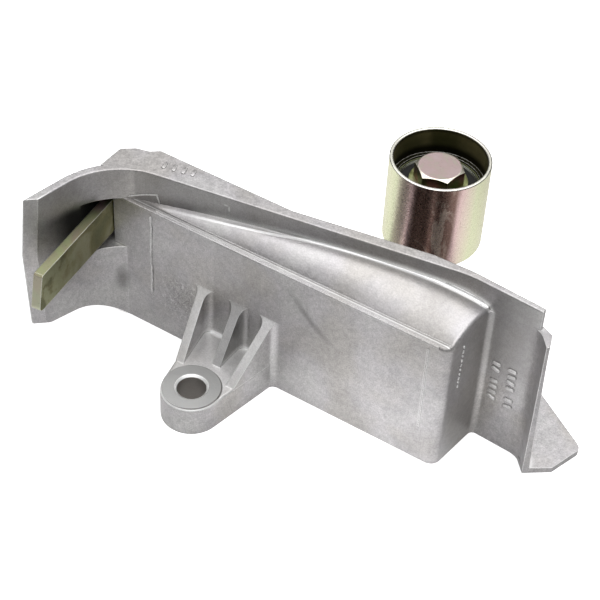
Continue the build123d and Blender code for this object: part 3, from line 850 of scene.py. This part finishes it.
@dataclass(frozen=True)
class DrumPassivation(Passivation):
    """Passivation of the drum: tints and a painted dark reflection that change round it, a dark inside with
    painted shade and a painted highlight on the rim.
    """

    axis: tuple[float, float] = (0.0, 0.0)
    shell_r: float = 17.0 * MM
    # Angle round the axis, towards the camera, where the painted dark reflection sits.
    front: float = math.radians(-65.0)
    wander: float = 0.16
    patchy: Colour = (0.62, 0.50, 0.43)
    patches: Pattern = Pattern(7 * MM, 4.0, 0.65, (1.0, 1.0, 0.4), 1.2)
    patchy_span: Range = (0.50, 0.62)
    middle_span: Range = (0.06, 0.15)
    # Dark inside: partly the coat's colour, partly painted shade.
    inside: Colour = (0.12, 0.12, 0.05)
    inside_light: Colour = (0.42, 0.37, 0.20)
    inside_span: Range = (0.42, 0.68)
    inside_rough: float = 0.5
    deep_shade: Colour = (0.015, 0.015, 0.008)
    deep_share: float = 0.92
    lip_depth: Range = (0.8 * MM, 2.2 * MM)
    lip_dark: float = 0.7
    deep_span: Range = mm(5.8, 8.7)
    wall_span: Range = mm(11.3, 11.5)
    shelf: Colour = (0.68, 0.70, 0.50)
    # Painted highlight on the rim's top.
    rim_highlight: Colour = (0.82, 0.81, 0.76)
    rim_share: float = 0.8
    rim_z: float = 0.1
    wave: Pattern = Pattern(4.0 * MM, 2.0, 0.5, (1.0, 1.0, 0.3), 0.4)
    wave_depth: float = 0.05 * MM

    def tint(self, shader: Shader, drift: Socket) -> Socket:
        """Return the colour of the coat: bands round the outside with a painted reflection, dark olive inside
        with painted shade, and a painted highlight on the rim.

        Args:
            shader: The material being built.
            drift: The slow pattern that the tints follow.

        Returns:
            The colour.
        """
        inner, outer = self.inner_coat(shader, drift), self.outer_coat(shader, drift)
        coat = shader.blend(self.shell(shader), inner, outer)
        # Painted highlight on the rim's top.
        rim_span = (self.rim_z - 0.5 * MM, self.rim_z - 0.2 * MM)
        return shader.blend(shader.rising(shader.along(Axis.Z), rim_span, self.rim_share), coat, self.rim_highlight)

    def outer_coat(self, shader: Shader, drift: Socket) -> Socket:
        """Return the bands round the outside, set by the angle from the front: a painted dark reflection in the
        middle band, with paler patches, and tints beside it.

        Args:
            shader: The material being built.
            drift: The slow pattern that the tints follow.

        Returns:
            The colour.
        """
        x, y = self.axis
        across = shader.math("SUBTRACT", shader.along(Axis.X), x)
        away = shader.math("SUBTRACT", shader.along(Axis.Y), y)
        # Bands by the angle from the front: the dark middle band is a painted reflection.
        turned = shader.math("SUBTRACT", shader.math("ARCTAN2", away, across), self.front)
        folded = shader.math("DIVIDE", shader.math("ABSOLUTE", turned), math.pi)
        wander = shader.both(shader.math("SUBTRACT", drift, 0.5), self.wander)
        bands = shader.ramp(shader.math("ADD", folded, wander), self.stops)
        paler = shader.noise(self.patches)
        middle = shader.falling(folded, self.middle_span)
        return shader.blend(shader.both(middle, shader.rising(paler, self.patchy_span)), bands, self.patchy)

    def inner_coat(self, shader: Shader, drift: Socket) -> Socket:
        """Return the dark olive inside, partly the coat's colour and partly painted shade, with more painted
        shade in depth and just under the rim, over a pale shelf.

        Args:
            shader: The material being built.
            drift: The slow pattern that the tints follow.

        Returns:
            The colour.
        """
        inner = shader.blend(shader.rising(drift, self.inside_span), self.inside, self.inside_light)
        depth = shader.math("SUBTRACT", self.rim_z, shader.along(Axis.Z))
        # Painted shade: darker in depth and just under the rim.
        low = shader.rising(depth, self.deep_span)
        wall = shader.falling(depth, self.wall_span)
        dark = shader.either(shader.both(low, wall), shader.falling(depth, self.lip_depth, self.lip_dark))
        inner = shader.blend(shader.both(dark, self.deep_share), inner, self.deep_shade)
        return shader.blend(wall, self.shelf, inner)

    def shell(self, shader: Shader) -> Socket:
        """Return a mask of the outside of the drum."""
        return shader.rising(shader.distance(*self.axis), (self.shell_r - 0.1 * MM, self.shell_r))

    def sheen(self, shader: Shader, speck: Socket) -> Socket:
        """Return how rough the coat is: polished by the belt outside, dull inside.

        Args:
            shader: The material being built.
            speck: The fine pattern.

        Returns:
            The roughness.
        """
        polished = super().sheen(shader, speck)
        inside = shader.math("SUBTRACT", 1.0, self.shell(shader))
        return shader.either(polished, shader.both(inside, self.inside_rough))

    def bumps(self, shader: Shader, speck: Socket) -> tuple[tuple[Socket, float], ...]:
        """Return the drum's upright waves over the fine grain."""
        return ((shader.noise(self.wave), self.wave_depth), (speck, self.grain_depth))


@dataclass(frozen=True)
class TurnedSteel:
    """Bright turned or ground steel with fine rings round an upright axis."""

    name: str
    colour: Colour
    axis: tuple[float, float]
    rough: float = 0.25
    rougher: float = 0.12
    haze: Pattern = Pattern(4 * MM, 3.0, 0.6)
    haze_span: Range = (0.3, 0.7)
    dull_share: float = 0.8
    ring: float = 0.25 * MM
    ring_depth: float = 0.003 * MM
    edge_radius: float = 0.15 * MM

    def make(self) -> Material:
        """Build the material.

        Returns:
            The finished material.
        """
        shader = Shader(self.name)
        haze = shader.noise(self.haze)
        dull = tuple(self.dull_share * c for c in self.colour)
        shader.feed(shader.blend(shader.rising(haze, self.haze_span), self.colour, dull), "Base Color")
        shader.feed(shader.remap(haze, self.haze_span, (self.rough, self.rough + self.rougher)), "Roughness")
        shader.constant(Metallic=1.0)
        turns = shader.both(shader.distance(*self.axis), 2 * math.pi / self.ring)
        shader.relief(((shader.math("SINE", turns), self.ring_depth),), shader.rounded(self.edge_radius))
        return shader.material


@dataclass(frozen=True)
class Moulding:
    """Moulded rubber or nylon with a fine skin."""

    name: str
    colour: Colour
    rough: float
    rougher: float = 0.15
    grain: Pattern = Pattern(0.5 * MM, 3.0, 0.6)
    grain_span: Range = (0.3, 0.7)
    grain_depth: float = 0.02 * MM
    drift: Pattern = Pattern(6.0 * MM, 2.0, 0.5)
    gain: float = 1.25
    lift: float = 0.01
    edge_radius: float = 0.15 * MM

    def make(self) -> Material:
        """Build the material.

        Returns:
            The finished material.
        """
        shader = Shader(self.name)
        grain = shader.noise(self.grain)
        lighter = tuple(min(1.0, self.gain * c + self.lift) for c in self.colour)
        shader.feed(shader.blend(shader.noise(self.drift), self.colour, lighter), "Base Color")
        sheen = (self.rough, self.rough + self.rougher)
        shader.feed(shader.remap(grain, self.grain_span, sheen), "Roughness")
        shader.constant(Metallic=0.0, Specular_IOR_Level=0.25)
        shader.relief(((grain, self.grain_depth),), shader.rounded(self.edge_radius))
        return shader.material


def deselect() -> None:
    """Deselect every object."""
    bpy.ops.object.select_all(action="DESELECT")


def finish_piece(piece: Object, material: Material, body: str) -> None:
    """Bake a piece's place into its mesh, dress it and let it ride.

    Args:
        piece: The piece.
        material: Its finish.
        body: The body that it moves with.
    """
    deselect()
    piece.select_set(True)
    bpy.context.view_layer.objects.active = piece
    bpy.ops.object.transform_apply(location=True, rotation=True, scale=True)
    piece.data.materials.clear()
    piece.data.materials.append(material)
    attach(piece, body)
    LOG.info("piece %s: %d faces on %s", piece.name, len(piece.data.polygons), body)


def pick_faces(piece: Object, towards: Vector) -> None:
    """Select the faces of the piece in edit mode that face one way, and nothing else.

    Args:
        piece: The piece in edit mode.
        towards: The direction that they face.
    """
    bpy.ops.mesh.select_mode(type="FACE")
    bpy.ops.mesh.select_all(action="DESELECT")
    mesh = bmesh.from_edit_mesh(piece.data)
    for face in mesh.faces:
        face.select_set(face.normal.dot(towards) > ALIGNED)
    bmesh.update_edit_mesh(piece.data)


def pick_edges(piece: Object, along: Vector, near: Vector | None = None) -> None:
    """Select the edges of the piece in edit mode that run one way, and nothing else.

    Args:
        piece: The piece in edit mode.
        along: The way that they run.
        near: A point; when it is given, only the edge nearest to it is taken.
    """
    bpy.ops.mesh.select_mode(type="EDGE")
    bpy.ops.mesh.select_all(action="DESELECT")
    mesh = bmesh.from_edit_mesh(piece.data)
    lined = []
    for edge in mesh.edges:
        start, end = (vertex.co for vertex in edge.verts)
        if abs((end - start).normalized().dot(along)) > ALIGNED:
            lined.append((edge, (start + end) / 2))
    if near is not None:
        lined = [min(lined, key=lambda pair: (pair[1] - near).length)]
    for edge, _ in lined:
        edge.select_set(True)
    bmesh.update_edit_mesh(piece.data)


def add_primitive(name: str, plane: bool = False) -> Object:
    """Add a unit cube or plane at the origin and open it in edit mode.

    Args:
        name: The piece's name.
        plane: Whether it starts as a plane.

    Returns:
        The new object.
    """
    deselect()
    add = bpy.ops.mesh.primitive_plane_add if plane else bpy.ops.mesh.primitive_cube_add
    add(size=1.0, location=(0.0, 0.0, 0.0))
    piece = bpy.context.object
    piece.name = name
    bpy.ops.object.mode_set(mode="EDIT")
    bpy.ops.mesh.select_all(action="SELECT")
    return piece


def apply_modifier(piece: Object, kind: str, **settings: object) -> None:
    """Add a modifier and apply it.

    Args:
        piece: The piece.
        kind: Blender's name for the modifier.
        settings: Its settings by name.
    """
    modifier = piece.modifiers.new(kind.lower(), kind)
    for key, value in settings.items():
        setattr(modifier, key, value)
    bpy.context.view_layer.objects.active = piece
    bpy.ops.object.modifier_apply(modifier=modifier.name)


class Throw(Enum):
    """Ways in which a mark is thrown onto the casting."""

    DOWN = (0.0, 0.0, -1.0)
    LEFTWARDS = (-1.0, 0.0, 0.0)
    BACKWARDS = (0.0, 1.0, 0.0)


@dataclass(frozen=True)
class MarkRow:
    """A row of equal raised bars on one face of the casting."""

    name: str
    throw: Throw
    first: Vector
    last: Vector
    shares: tuple[float, ...]
    size: Colour
    lean: tuple[float, ...] = (0.0,)
    rubbed: bool = True


@dataclass
class CastMarks:
    """Small raised marks, a ridge and the flash that the mould leaves on the casting."""

    casting: Object
    material: Material
    plain: Material
    sink: float = 0.3 * MM
    away: float = 12 * MM
    end_round: float = 0.42
    top_round: float = 0.5
    smooth: float = math.radians(50)
    rows: tuple[MarkRow, ...] = (
        MarkRow(
            "end_wall_dashes", Throw.LEFTWARDS,
            Vector((84.2, 35.5, 52.0)) * MM, Vector((84.1, 34.9, 34.1)) * MM,
            (0.0, 0.115, 0.23, 0.345, 0.46, 0.575, 0.69, 0.80, 0.90, 1.0),
            mm(0.75, 1.4, 0.35), (0.3, -0.2, 0.5, 0.1, -0.3, 0.4),
        ),
        MarkRow(
            "right_wall_marks_inner", Throw.BACKWARDS,
            Vector((91.2, 48.9, 37.4)) * MM, Vector((91.2, 48.9, 19.8)) * MM,
            (0.0, 0.15, 0.46, 0.61, 0.76, 0.91), mm(1.35, 3.4, 0.55), (1.57, 1.35, 1.7, 1.57),
        ),
        MarkRow(
            "right_wall_marks_outer", Throw.BACKWARDS,
            Vector((97.4, 48.6, 37.6)) * MM, Vector((97.8, 48.5, 19.0)) * MM,
            (0.0, 0.15, 0.30, 0.45, 0.74, 0.90), mm(1.35, 3.5, 0.55), (1.57, 1.7, 1.4, 1.57),
        ),
        MarkRow(
            "land_marks", Throw.DOWN,
            Vector((-38.1, 37.0, 69.0)) * MM, Vector((-27.5, 39.4, 69.0)) * MM,
            (0.0, 0.34, 0.68, 1.0), mm(1.5, 3.6, 0.34), (0.25, 0.4, 0.25), rubbed=False,
        ),
    )
    flash_place: Vector = Vector((-36.9, 26.8, 35.5)) * MM
    flash_size: Colour = mm(0.95, 1.1, 36.0)
    flash_cuts: int = 40
    flash_wander: float = 0.36 * MM
    flash_seed: int = 4
    flash_smooth: float = math.radians(60)
    ridge_start: Vector = Vector((-47.0, 27.7, 57.1)) * MM
    ridge_corner: Vector = Vector((-37.2, 31.1, 60.1)) * MM
    ridge_drop: float = 3.6 * MM
    ridge_width: float = 0.55 * MM
    ridge_cuts: int = 7
    ridge_height: float = 0.5 * MM
    ridge_round: float = 0.12 * MM

    def make(self) -> None:
        """Model every mark and fix it to the bracket."""
        for row in self.rows:
            self.row(row)
        self.flash()
        self.ridge()

    def bar(self, name: str, size: Colour) -> Object:
        """Model one bar with rounded ends and a rounded top, standing on z = 0 along y.

        Args:
            name: Its name.
            size: Its width, length and rise.

        Returns:
            The bar.
        """
        width, length, rise = size
        piece = add_primitive(name)
        bpy.ops.transform.resize(value=(width, length, rise + self.sink))
        bpy.ops.transform.translate(value=(0.0, 0.0, (rise - self.sink) / 2))
        pick_edges(piece, UP)
        bpy.ops.mesh.bevel(offset=self.end_round * width, segments=3, affect="EDGES")
        pick_faces(piece, UP)
        bpy.ops.mesh.bevel(offset=self.top_round * rise, segments=2, affect="EDGES")
        bpy.ops.object.mode_set(mode="OBJECT")
        bpy.ops.object.shade_smooth_by_angle(angle=self.smooth)
        return piece

    def row(self, row: MarkRow) -> None:
        """Copy a bar along its row, seat each copy on the casting and join them.

        Args:
            row: The row.
        """
        master = self.bar(row.name, row.size)
        ahead = Vector(row.throw.value)
        pieces = []
        for index, share in enumerate(row.shares):
            start = row.first.lerp(row.last, share) - ahead * self.away
            hit, place, normal, _ = self.casting.ray_cast(start, ahead)
            if not hit:
                LOG.info("mark %d of %s misses the casting", index, row.name)
                continue
            deselect()
            master.select_set(True)
            bpy.context.view_layer.objects.active = master
            bpy.ops.object.duplicate(linked=False)
            piece = bpy.context.object
            lean = row.lean[index % len(row.lean)]
            side = UP.cross(normal)
            side = side.normalized() if side.length > 0.1 else Vector((1.0, 0.0, 0.0))
            rise = normal.cross(side)
            across = side * math.cos(lean) + rise * math.sin(lean)
            matrix = Matrix((across, normal.cross(across), normal)).transposed().to_4x4()
            matrix.translation = place
            piece.matrix_world = matrix
            pieces.append(piece)
        bpy.data.objects.remove(master)
        deselect()
        for piece in pieces:
            piece.select_set(True)
        bpy.context.view_layer.objects.active = pieces[0]
        bpy.ops.object.join()
        joined = bpy.context.object
        joined.name = row.name
        finish_piece(joined, self.material if row.rubbed else self.plain, "bracket")

    def flash(self) -> None:
        """Model the uneven flash bead on the parting line of the front wall."""
        piece = add_primitive("parting_flash")
        bpy.ops.transform.resize(value=self.flash_size)
        pick_edges(piece, UP)
        bpy.ops.mesh.subdivide(number_cuts=self.flash_cuts)
        bpy.ops.mesh.select_all(action="SELECT")
        bpy.ops.transform.vertex_random(offset=self.flash_wander, uniform=1.0, normal=0.0, seed=self.flash_seed)
        bpy.ops.object.mode_set(mode="OBJECT")
        apply_modifier(piece, "SUBSURF", levels=1, render_levels=1)
        bpy.ops.object.shade_smooth_by_angle(angle=self.flash_smooth)
        piece.location = self.flash_place
        finish_piece(piece, self.material, "bracket")

    def ridge(self) -> None:
        """Model the faint angled ridge that the mould's insert leaves on the guard wall."""
        run = self.ridge_corner - self.ridge_start
        ahead = Vector(Throw.BACKWARDS.value)
        _, place, normal, _ = self.casting.ray_cast(self.ridge_corner - ahead * self.away, ahead)
        width = self.ridge_width
        piece = add_primitive("guard_wall_ridge", plane=True)
        bpy.ops.transform.resize(value=(width, width, 1.0))
        pick_edges(piece, Vector((0.0, 1.0, 0.0)), Vector((-width / 2, 0.0, 0.0)))
        bpy.ops.mesh.extrude_region_move(TRANSFORM_OT_translate={"value": (-run.length, 0.0, 0.0)})
        pick_edges(piece, Vector((1.0, 0.0, 0.0)), Vector((0.0, -width / 2, 0.0)))
        bpy.ops.mesh.extrude_region_move(TRANSFORM_OT_translate={"value": (0.0, -self.ridge_drop, 0.0)})
        bpy.ops.mesh.select_all(action="SELECT")
        bpy.ops.mesh.subdivide(number_cuts=self.ridge_cuts)
        bpy.ops.object.mode_set(mode="OBJECT")
        across = run.normalized()
        out = (normal - across * normal.dot(across)).normalized()
        matrix = Matrix((across, out.cross(across), out)).transposed().to_4x4()
        matrix.translation = place
        piece.matrix_world = matrix
        deselect()
        piece.select_set(True)
        bpy.ops.object.transform_apply(location=True, rotation=True, scale=True)
        apply_modifier(piece, "SHRINKWRAP", target=self.casting, wrap_method="NEAREST_SURFACEPOINT")
        apply_modifier(piece, "SOLIDIFY", thickness=self.ridge_height, offset=0.0)
        apply_modifier(piece, "BEVEL", width=self.ridge_round, segments=2, limit_method="ANGLE")
        bpy.ops.object.shade_smooth_by_angle(angle=self.smooth)
        finish_piece(piece, self.material, "bracket")


@dataclass
class Finishes:
    """All finishes of the object."""

    roller_axis: tuple[float, float]
    drum_wall: float = 1.2 * MM
    rubbed_part: float = 0.55

    def __post_init__(self) -> None:
        """Build every material once."""
        self.aluminium = CastAluminium().make()
        self.marks = CastAluminium(
            "rubbed_marks", (0.66, 0.66, 0.65), (0.62, 0.61, 0.61), (0.58, 0.57, 0.56), crease_share=0.8,
            guard_shade=0.0, end_shade=0.0,
        ).make()
        green, brown = (0.80, 0.82, 0.56), (0.28, 0.18, 0.15)
        low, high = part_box("roller_drum")
        near, far = (corner.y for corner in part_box("guide_strip"))
        # The brown stops at the start of the drum's ramp are its painted dark reflection.
        self.drum = DrumPassivation(
            "passivated_drum",
            ((0.0, brown), (0.13, brown), (0.16, (0.82, 0.60, 0.58)), (0.20, (0.86, 0.72, 0.62)),
             (0.28, green), (0.55, (0.62, 0.58, 0.36)), (0.8, (0.62, 0.46, 0.45)), (1.0, green)),
            patch=30 * MM, stretch=(1.0, 1.0, 0.35), rough=(0.22, 0.34),
            axis=self.roller_axis, shell_r=(high.x - low.x) / 2 - self.drum_wall, rim_z=high.z,
        ).make()
        self.strip = Passivation(
            "passivated_strip",
            ((0.0, (0.17, 0.17, 0.08)), (0.5, (0.235, 0.225, 0.105)), (1.0, (0.37, 0.36, 0.22))),
            patch=14 * MM, rough=(0.34, 0.48), edge_radius=0.4 * MM, edge_share=0.8,
            upper=((0.0, (0.30, 0.33, 0.18)), (0.45, (0.30, 0.27, 0.19)), (1.0, (0.42, 0.28, 0.30))),
            nose=(0.48, 0.50, 0.36), rubbed=(0.46, 0.47, 0.29),
            rubbed_from=(near, near + self.rubbed_part * (far - near)),
        ).make()
        self.bolt = Passivation(
            "passivated_bolt",
            ((0.0, (0.10, 0.13, 0.05)), (0.5, (0.17, 0.13, 0.07)), (1.0, (0.30, 0.11, 0.12))),
            patch=7 * MM, rough=(0.3, 0.42), edge_share=0.3,
            upper=((0.0, (0.44, 0.41, 0.34)), (0.45, (0.48, 0.37, 0.36)), (1.0, (0.50, 0.40, 0.40))),
            slope=(0.74, 0.70, 0.60),
        ).make()
        self.washer = Passivation(
            "passivated_washer",
            ((0.0, (0.14, 0.15, 0.06)), (0.6, (0.30, 0.32, 0.15)), (1.0, (0.46, 0.48, 0.28))),
            patch=7 * MM, rough=(0.28, 0.4),
        ).make()
        self.sleeve = TurnedSteel("turned_steel", (0.58, 0.57, 0.56), self.roller_axis).make()
        self.bearing = TurnedSteel("bearing_steel", (0.26, 0.27, 0.23), self.roller_axis, rough=0.22).make()
        self.seal = Moulding("seal_rubber", (0.012, 0.012, 0.012), 0.55).make()
        self.cage = Moulding("cage_plastic", (0.55, 0.50, 0.38), 0.45).make()

    def dress(self, nodes: dict[str, Object]) -> None:
        """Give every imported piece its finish.

        Args:
            nodes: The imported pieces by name.
        """
        named = {
            "housing": self.aluminium,
            "guide_strip": self.strip,
            "roller_drum": self.drum,
            "roller_bolt": self.bolt,
            "washer": self.washer,
            "centre_sleeve": self.sleeve,
        }
        kinds = {"seal": self.seal, "cage": self.cage}
        for name, piece in nodes.items():
            material = named.get(name) or kinds.get(name.split("_")[0], self.bearing)
            piece.data.materials.clear()
            piece.data.materials.append(material)
            LOG.info("packed piece %s: %s", name, material.name)


@dataclass(frozen=True)
class PhotoCamera:
    """Camera at the photograph's place."""

    place: tuple[float, float, float] = (0.23811, -0.32839, 0.43633)
    azimuth: float = 30.85
    pitch: float = 43.205
    roll: float = 3.344
    lens: float = 100.57
    sensor: float = 36.0

    def make(self) -> None:
        """Build the camera and make it the scene's."""
        turn, tilt, lean = (math.radians(a) for a in (self.azimuth, self.pitch, self.roll))
        side = Vector((math.cos(turn), math.sin(turn), 0.0))
        ahead = UP.cross(side) * math.cos(tilt) - UP * math.sin(tilt)
        down = ahead.cross(side)
        right = side * math.cos(lean) - down * math.sin(lean)
        below = side * math.sin(lean) + down * math.cos(lean)
        data = bpy.data.cameras.new("photo_camera")
        data.lens = self.lens
        data.sensor_width = self.sensor
        camera = bpy.data.objects.new("photo_camera", data)
        bpy.context.scene.collection.objects.link(camera)
        matrix = Matrix((right, -below, -ahead)).transposed().to_4x4()
        matrix.translation = Vector(self.place)
        camera.matrix_world = matrix
        bpy.context.scene.camera = camera


@dataclass(frozen=True)
class Lamp:
    """One soft rectangular lamp that looks at the object."""

    name: str
    place: tuple[float, float, float]
    size: tuple[float, float]
    power: float

    def make(self, target: Vector) -> None:
        """Build the lamp.

        Args:
            target: The point that it looks at.
        """
        data = bpy.data.lights.new(self.name, "AREA")
        data.shape = "RECTANGLE"
        data.size, data.size_y = self.size
        data.energy = self.power
        lamp = bpy.data.objects.new(self.name, data)
        bpy.context.scene.collection.objects.link(lamp)
        lamp.location = self.place
        lamp.rotation_euler = (target - Vector(self.place)).to_track_quat("-Z", "Y").to_euler()


@dataclass(frozen=True)
class Studio:
    """Plain pale floor and two soft lamps under a sky that darkens towards the horizon."""

    floor_size: float = 6.0
    floor_drop: float = 0.05 * MM
    floor_rough: float = 0.9
    paper: Colour = (0.93, 0.93, 0.93)
    glow: float = 0.62
    bounce_centre: tuple[float, float] = mm(-10, 30)
    bounce_span: Range = mm(60, 400)
    bounce: Range = (0.78, 0.10)
    pool: Vector = Vector((72.0, 12.0, 0.0)) * MM
    pool_reach: Colour = (80 * MM, 36 * MM, 1.0)
    pool_soft: float = 1.0
    pool_glow: float = 1.08
    sky_light: Range = (0.06, 1.25)
    sky_band: Range = (0.38, 0.74)
    lamps: tuple[Lamp, ...] = (
        Lamp("overhead_lamp", (-0.11, 0.30, 1.1), (1.4, 0.95), 5.8),
        Lamp("high_front_lamp", (0.33, -0.42, 1.1), (0.9, 0.7), 4.2),
    )

    def make(self, centre: Vector) -> None:
        """Build the floor, the lamps and the sky.

        Args:
            centre: The object's centre.
        """
        self.floor()
        self.sky()
        for lamp in self.lamps:
            lamp.make(centre)

    def floor(self) -> None:
        """Lay the pale floor, whose bounce on the object fades outwards."""
        deselect()
        bpy.ops.mesh.primitive_plane_add(size=self.floor_size, location=(0.0, 0.0, -self.floor_drop))
        floor = bpy.context.object
        floor.name = "floor"
        shader = Shader("floor_paper")
        shader.constant(Base_Color=self.paper, Roughness=self.floor_rough)
        shader.constant(Emission_Color=self.paper, Emission_Strength=self.glow)
        fade = shader.remap(shader.distance(*self.bounce_centre), self.bounce_span, self.bounce)
        bounce = shader.node("ShaderNodeBsdfDiffuse", {"Color": shader.grey(fade)})
        near = shader.spot(self.pool, self.pool_reach, self.pool_soft)
        pool = shader.node("ShaderNodeEmission", {"Strength": shader.both(near, self.pool_glow)})
        lit = shader.node("ShaderNodeAddShader", {0: bounce.outputs[0], 1: pool.outputs[0]})
        seen = shader.node("ShaderNodeLightPath", {}).outputs["Is Camera Ray"]
        looks = {0: seen, 1: lit.outputs[0], 2: shader.surface.outputs["BSDF"]}
        switch = shader.node("ShaderNodeMixShader", looks)
        shader.put(switch.outputs[0], shader.output.inputs["Surface"])
        floor.data.materials.append(shader.material)

    def sky(self) -> None:
        """Build the sky."""
        world = bpy.data.worlds.new("studio")
        bpy.context.scene.world = world
        world.use_nodes = True
        tree = world.node_tree
        place = tree.nodes.new("ShaderNodeTexCoord").outputs["Generated"]
        split = tree.nodes.new("ShaderNodeSeparateXYZ")
        tree.links.new(place, split.inputs[0])
        rise = tree.nodes.new("ShaderNodeMapRange")
        rise.interpolation_type = "SMOOTHSTEP"
        tree.links.new(split.outputs["Z"], rise.inputs["Value"])
        rise.inputs["From Min"].default_value, rise.inputs["From Max"].default_value = self.sky_band
        rise.inputs["To Min"].default_value, rise.inputs["To Max"].default_value = self.sky_light
        background = tree.nodes["Background"]
        background.inputs["Color"].default_value = (*WHITE, 1.0)
        tree.links.new(rise.outputs["Result"], background.inputs["Strength"])


def main() -> None:
    """Build the looks and report each piece."""
    logging.basicConfig(level=logging.INFO, format="%(message)s")
    low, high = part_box("roller_drum")
    middle = (low + high) / 2
    finishes = Finishes((middle.x, middle.y))
    finishes.dress(frame["nodes"])
    CastMarks(frame["nodes"]["housing"], finishes.marks, finishes.aluminium).make()
    PhotoCamera().make()
    whole_low, whole_high = (Vector(corner) for corner in CAD_BOX)
    Studio().make((whole_low + whole_high) / 2)
    bpy.context.scene.view_settings.view_transform = "Standard"


if __name__ == "__main__":
    main()
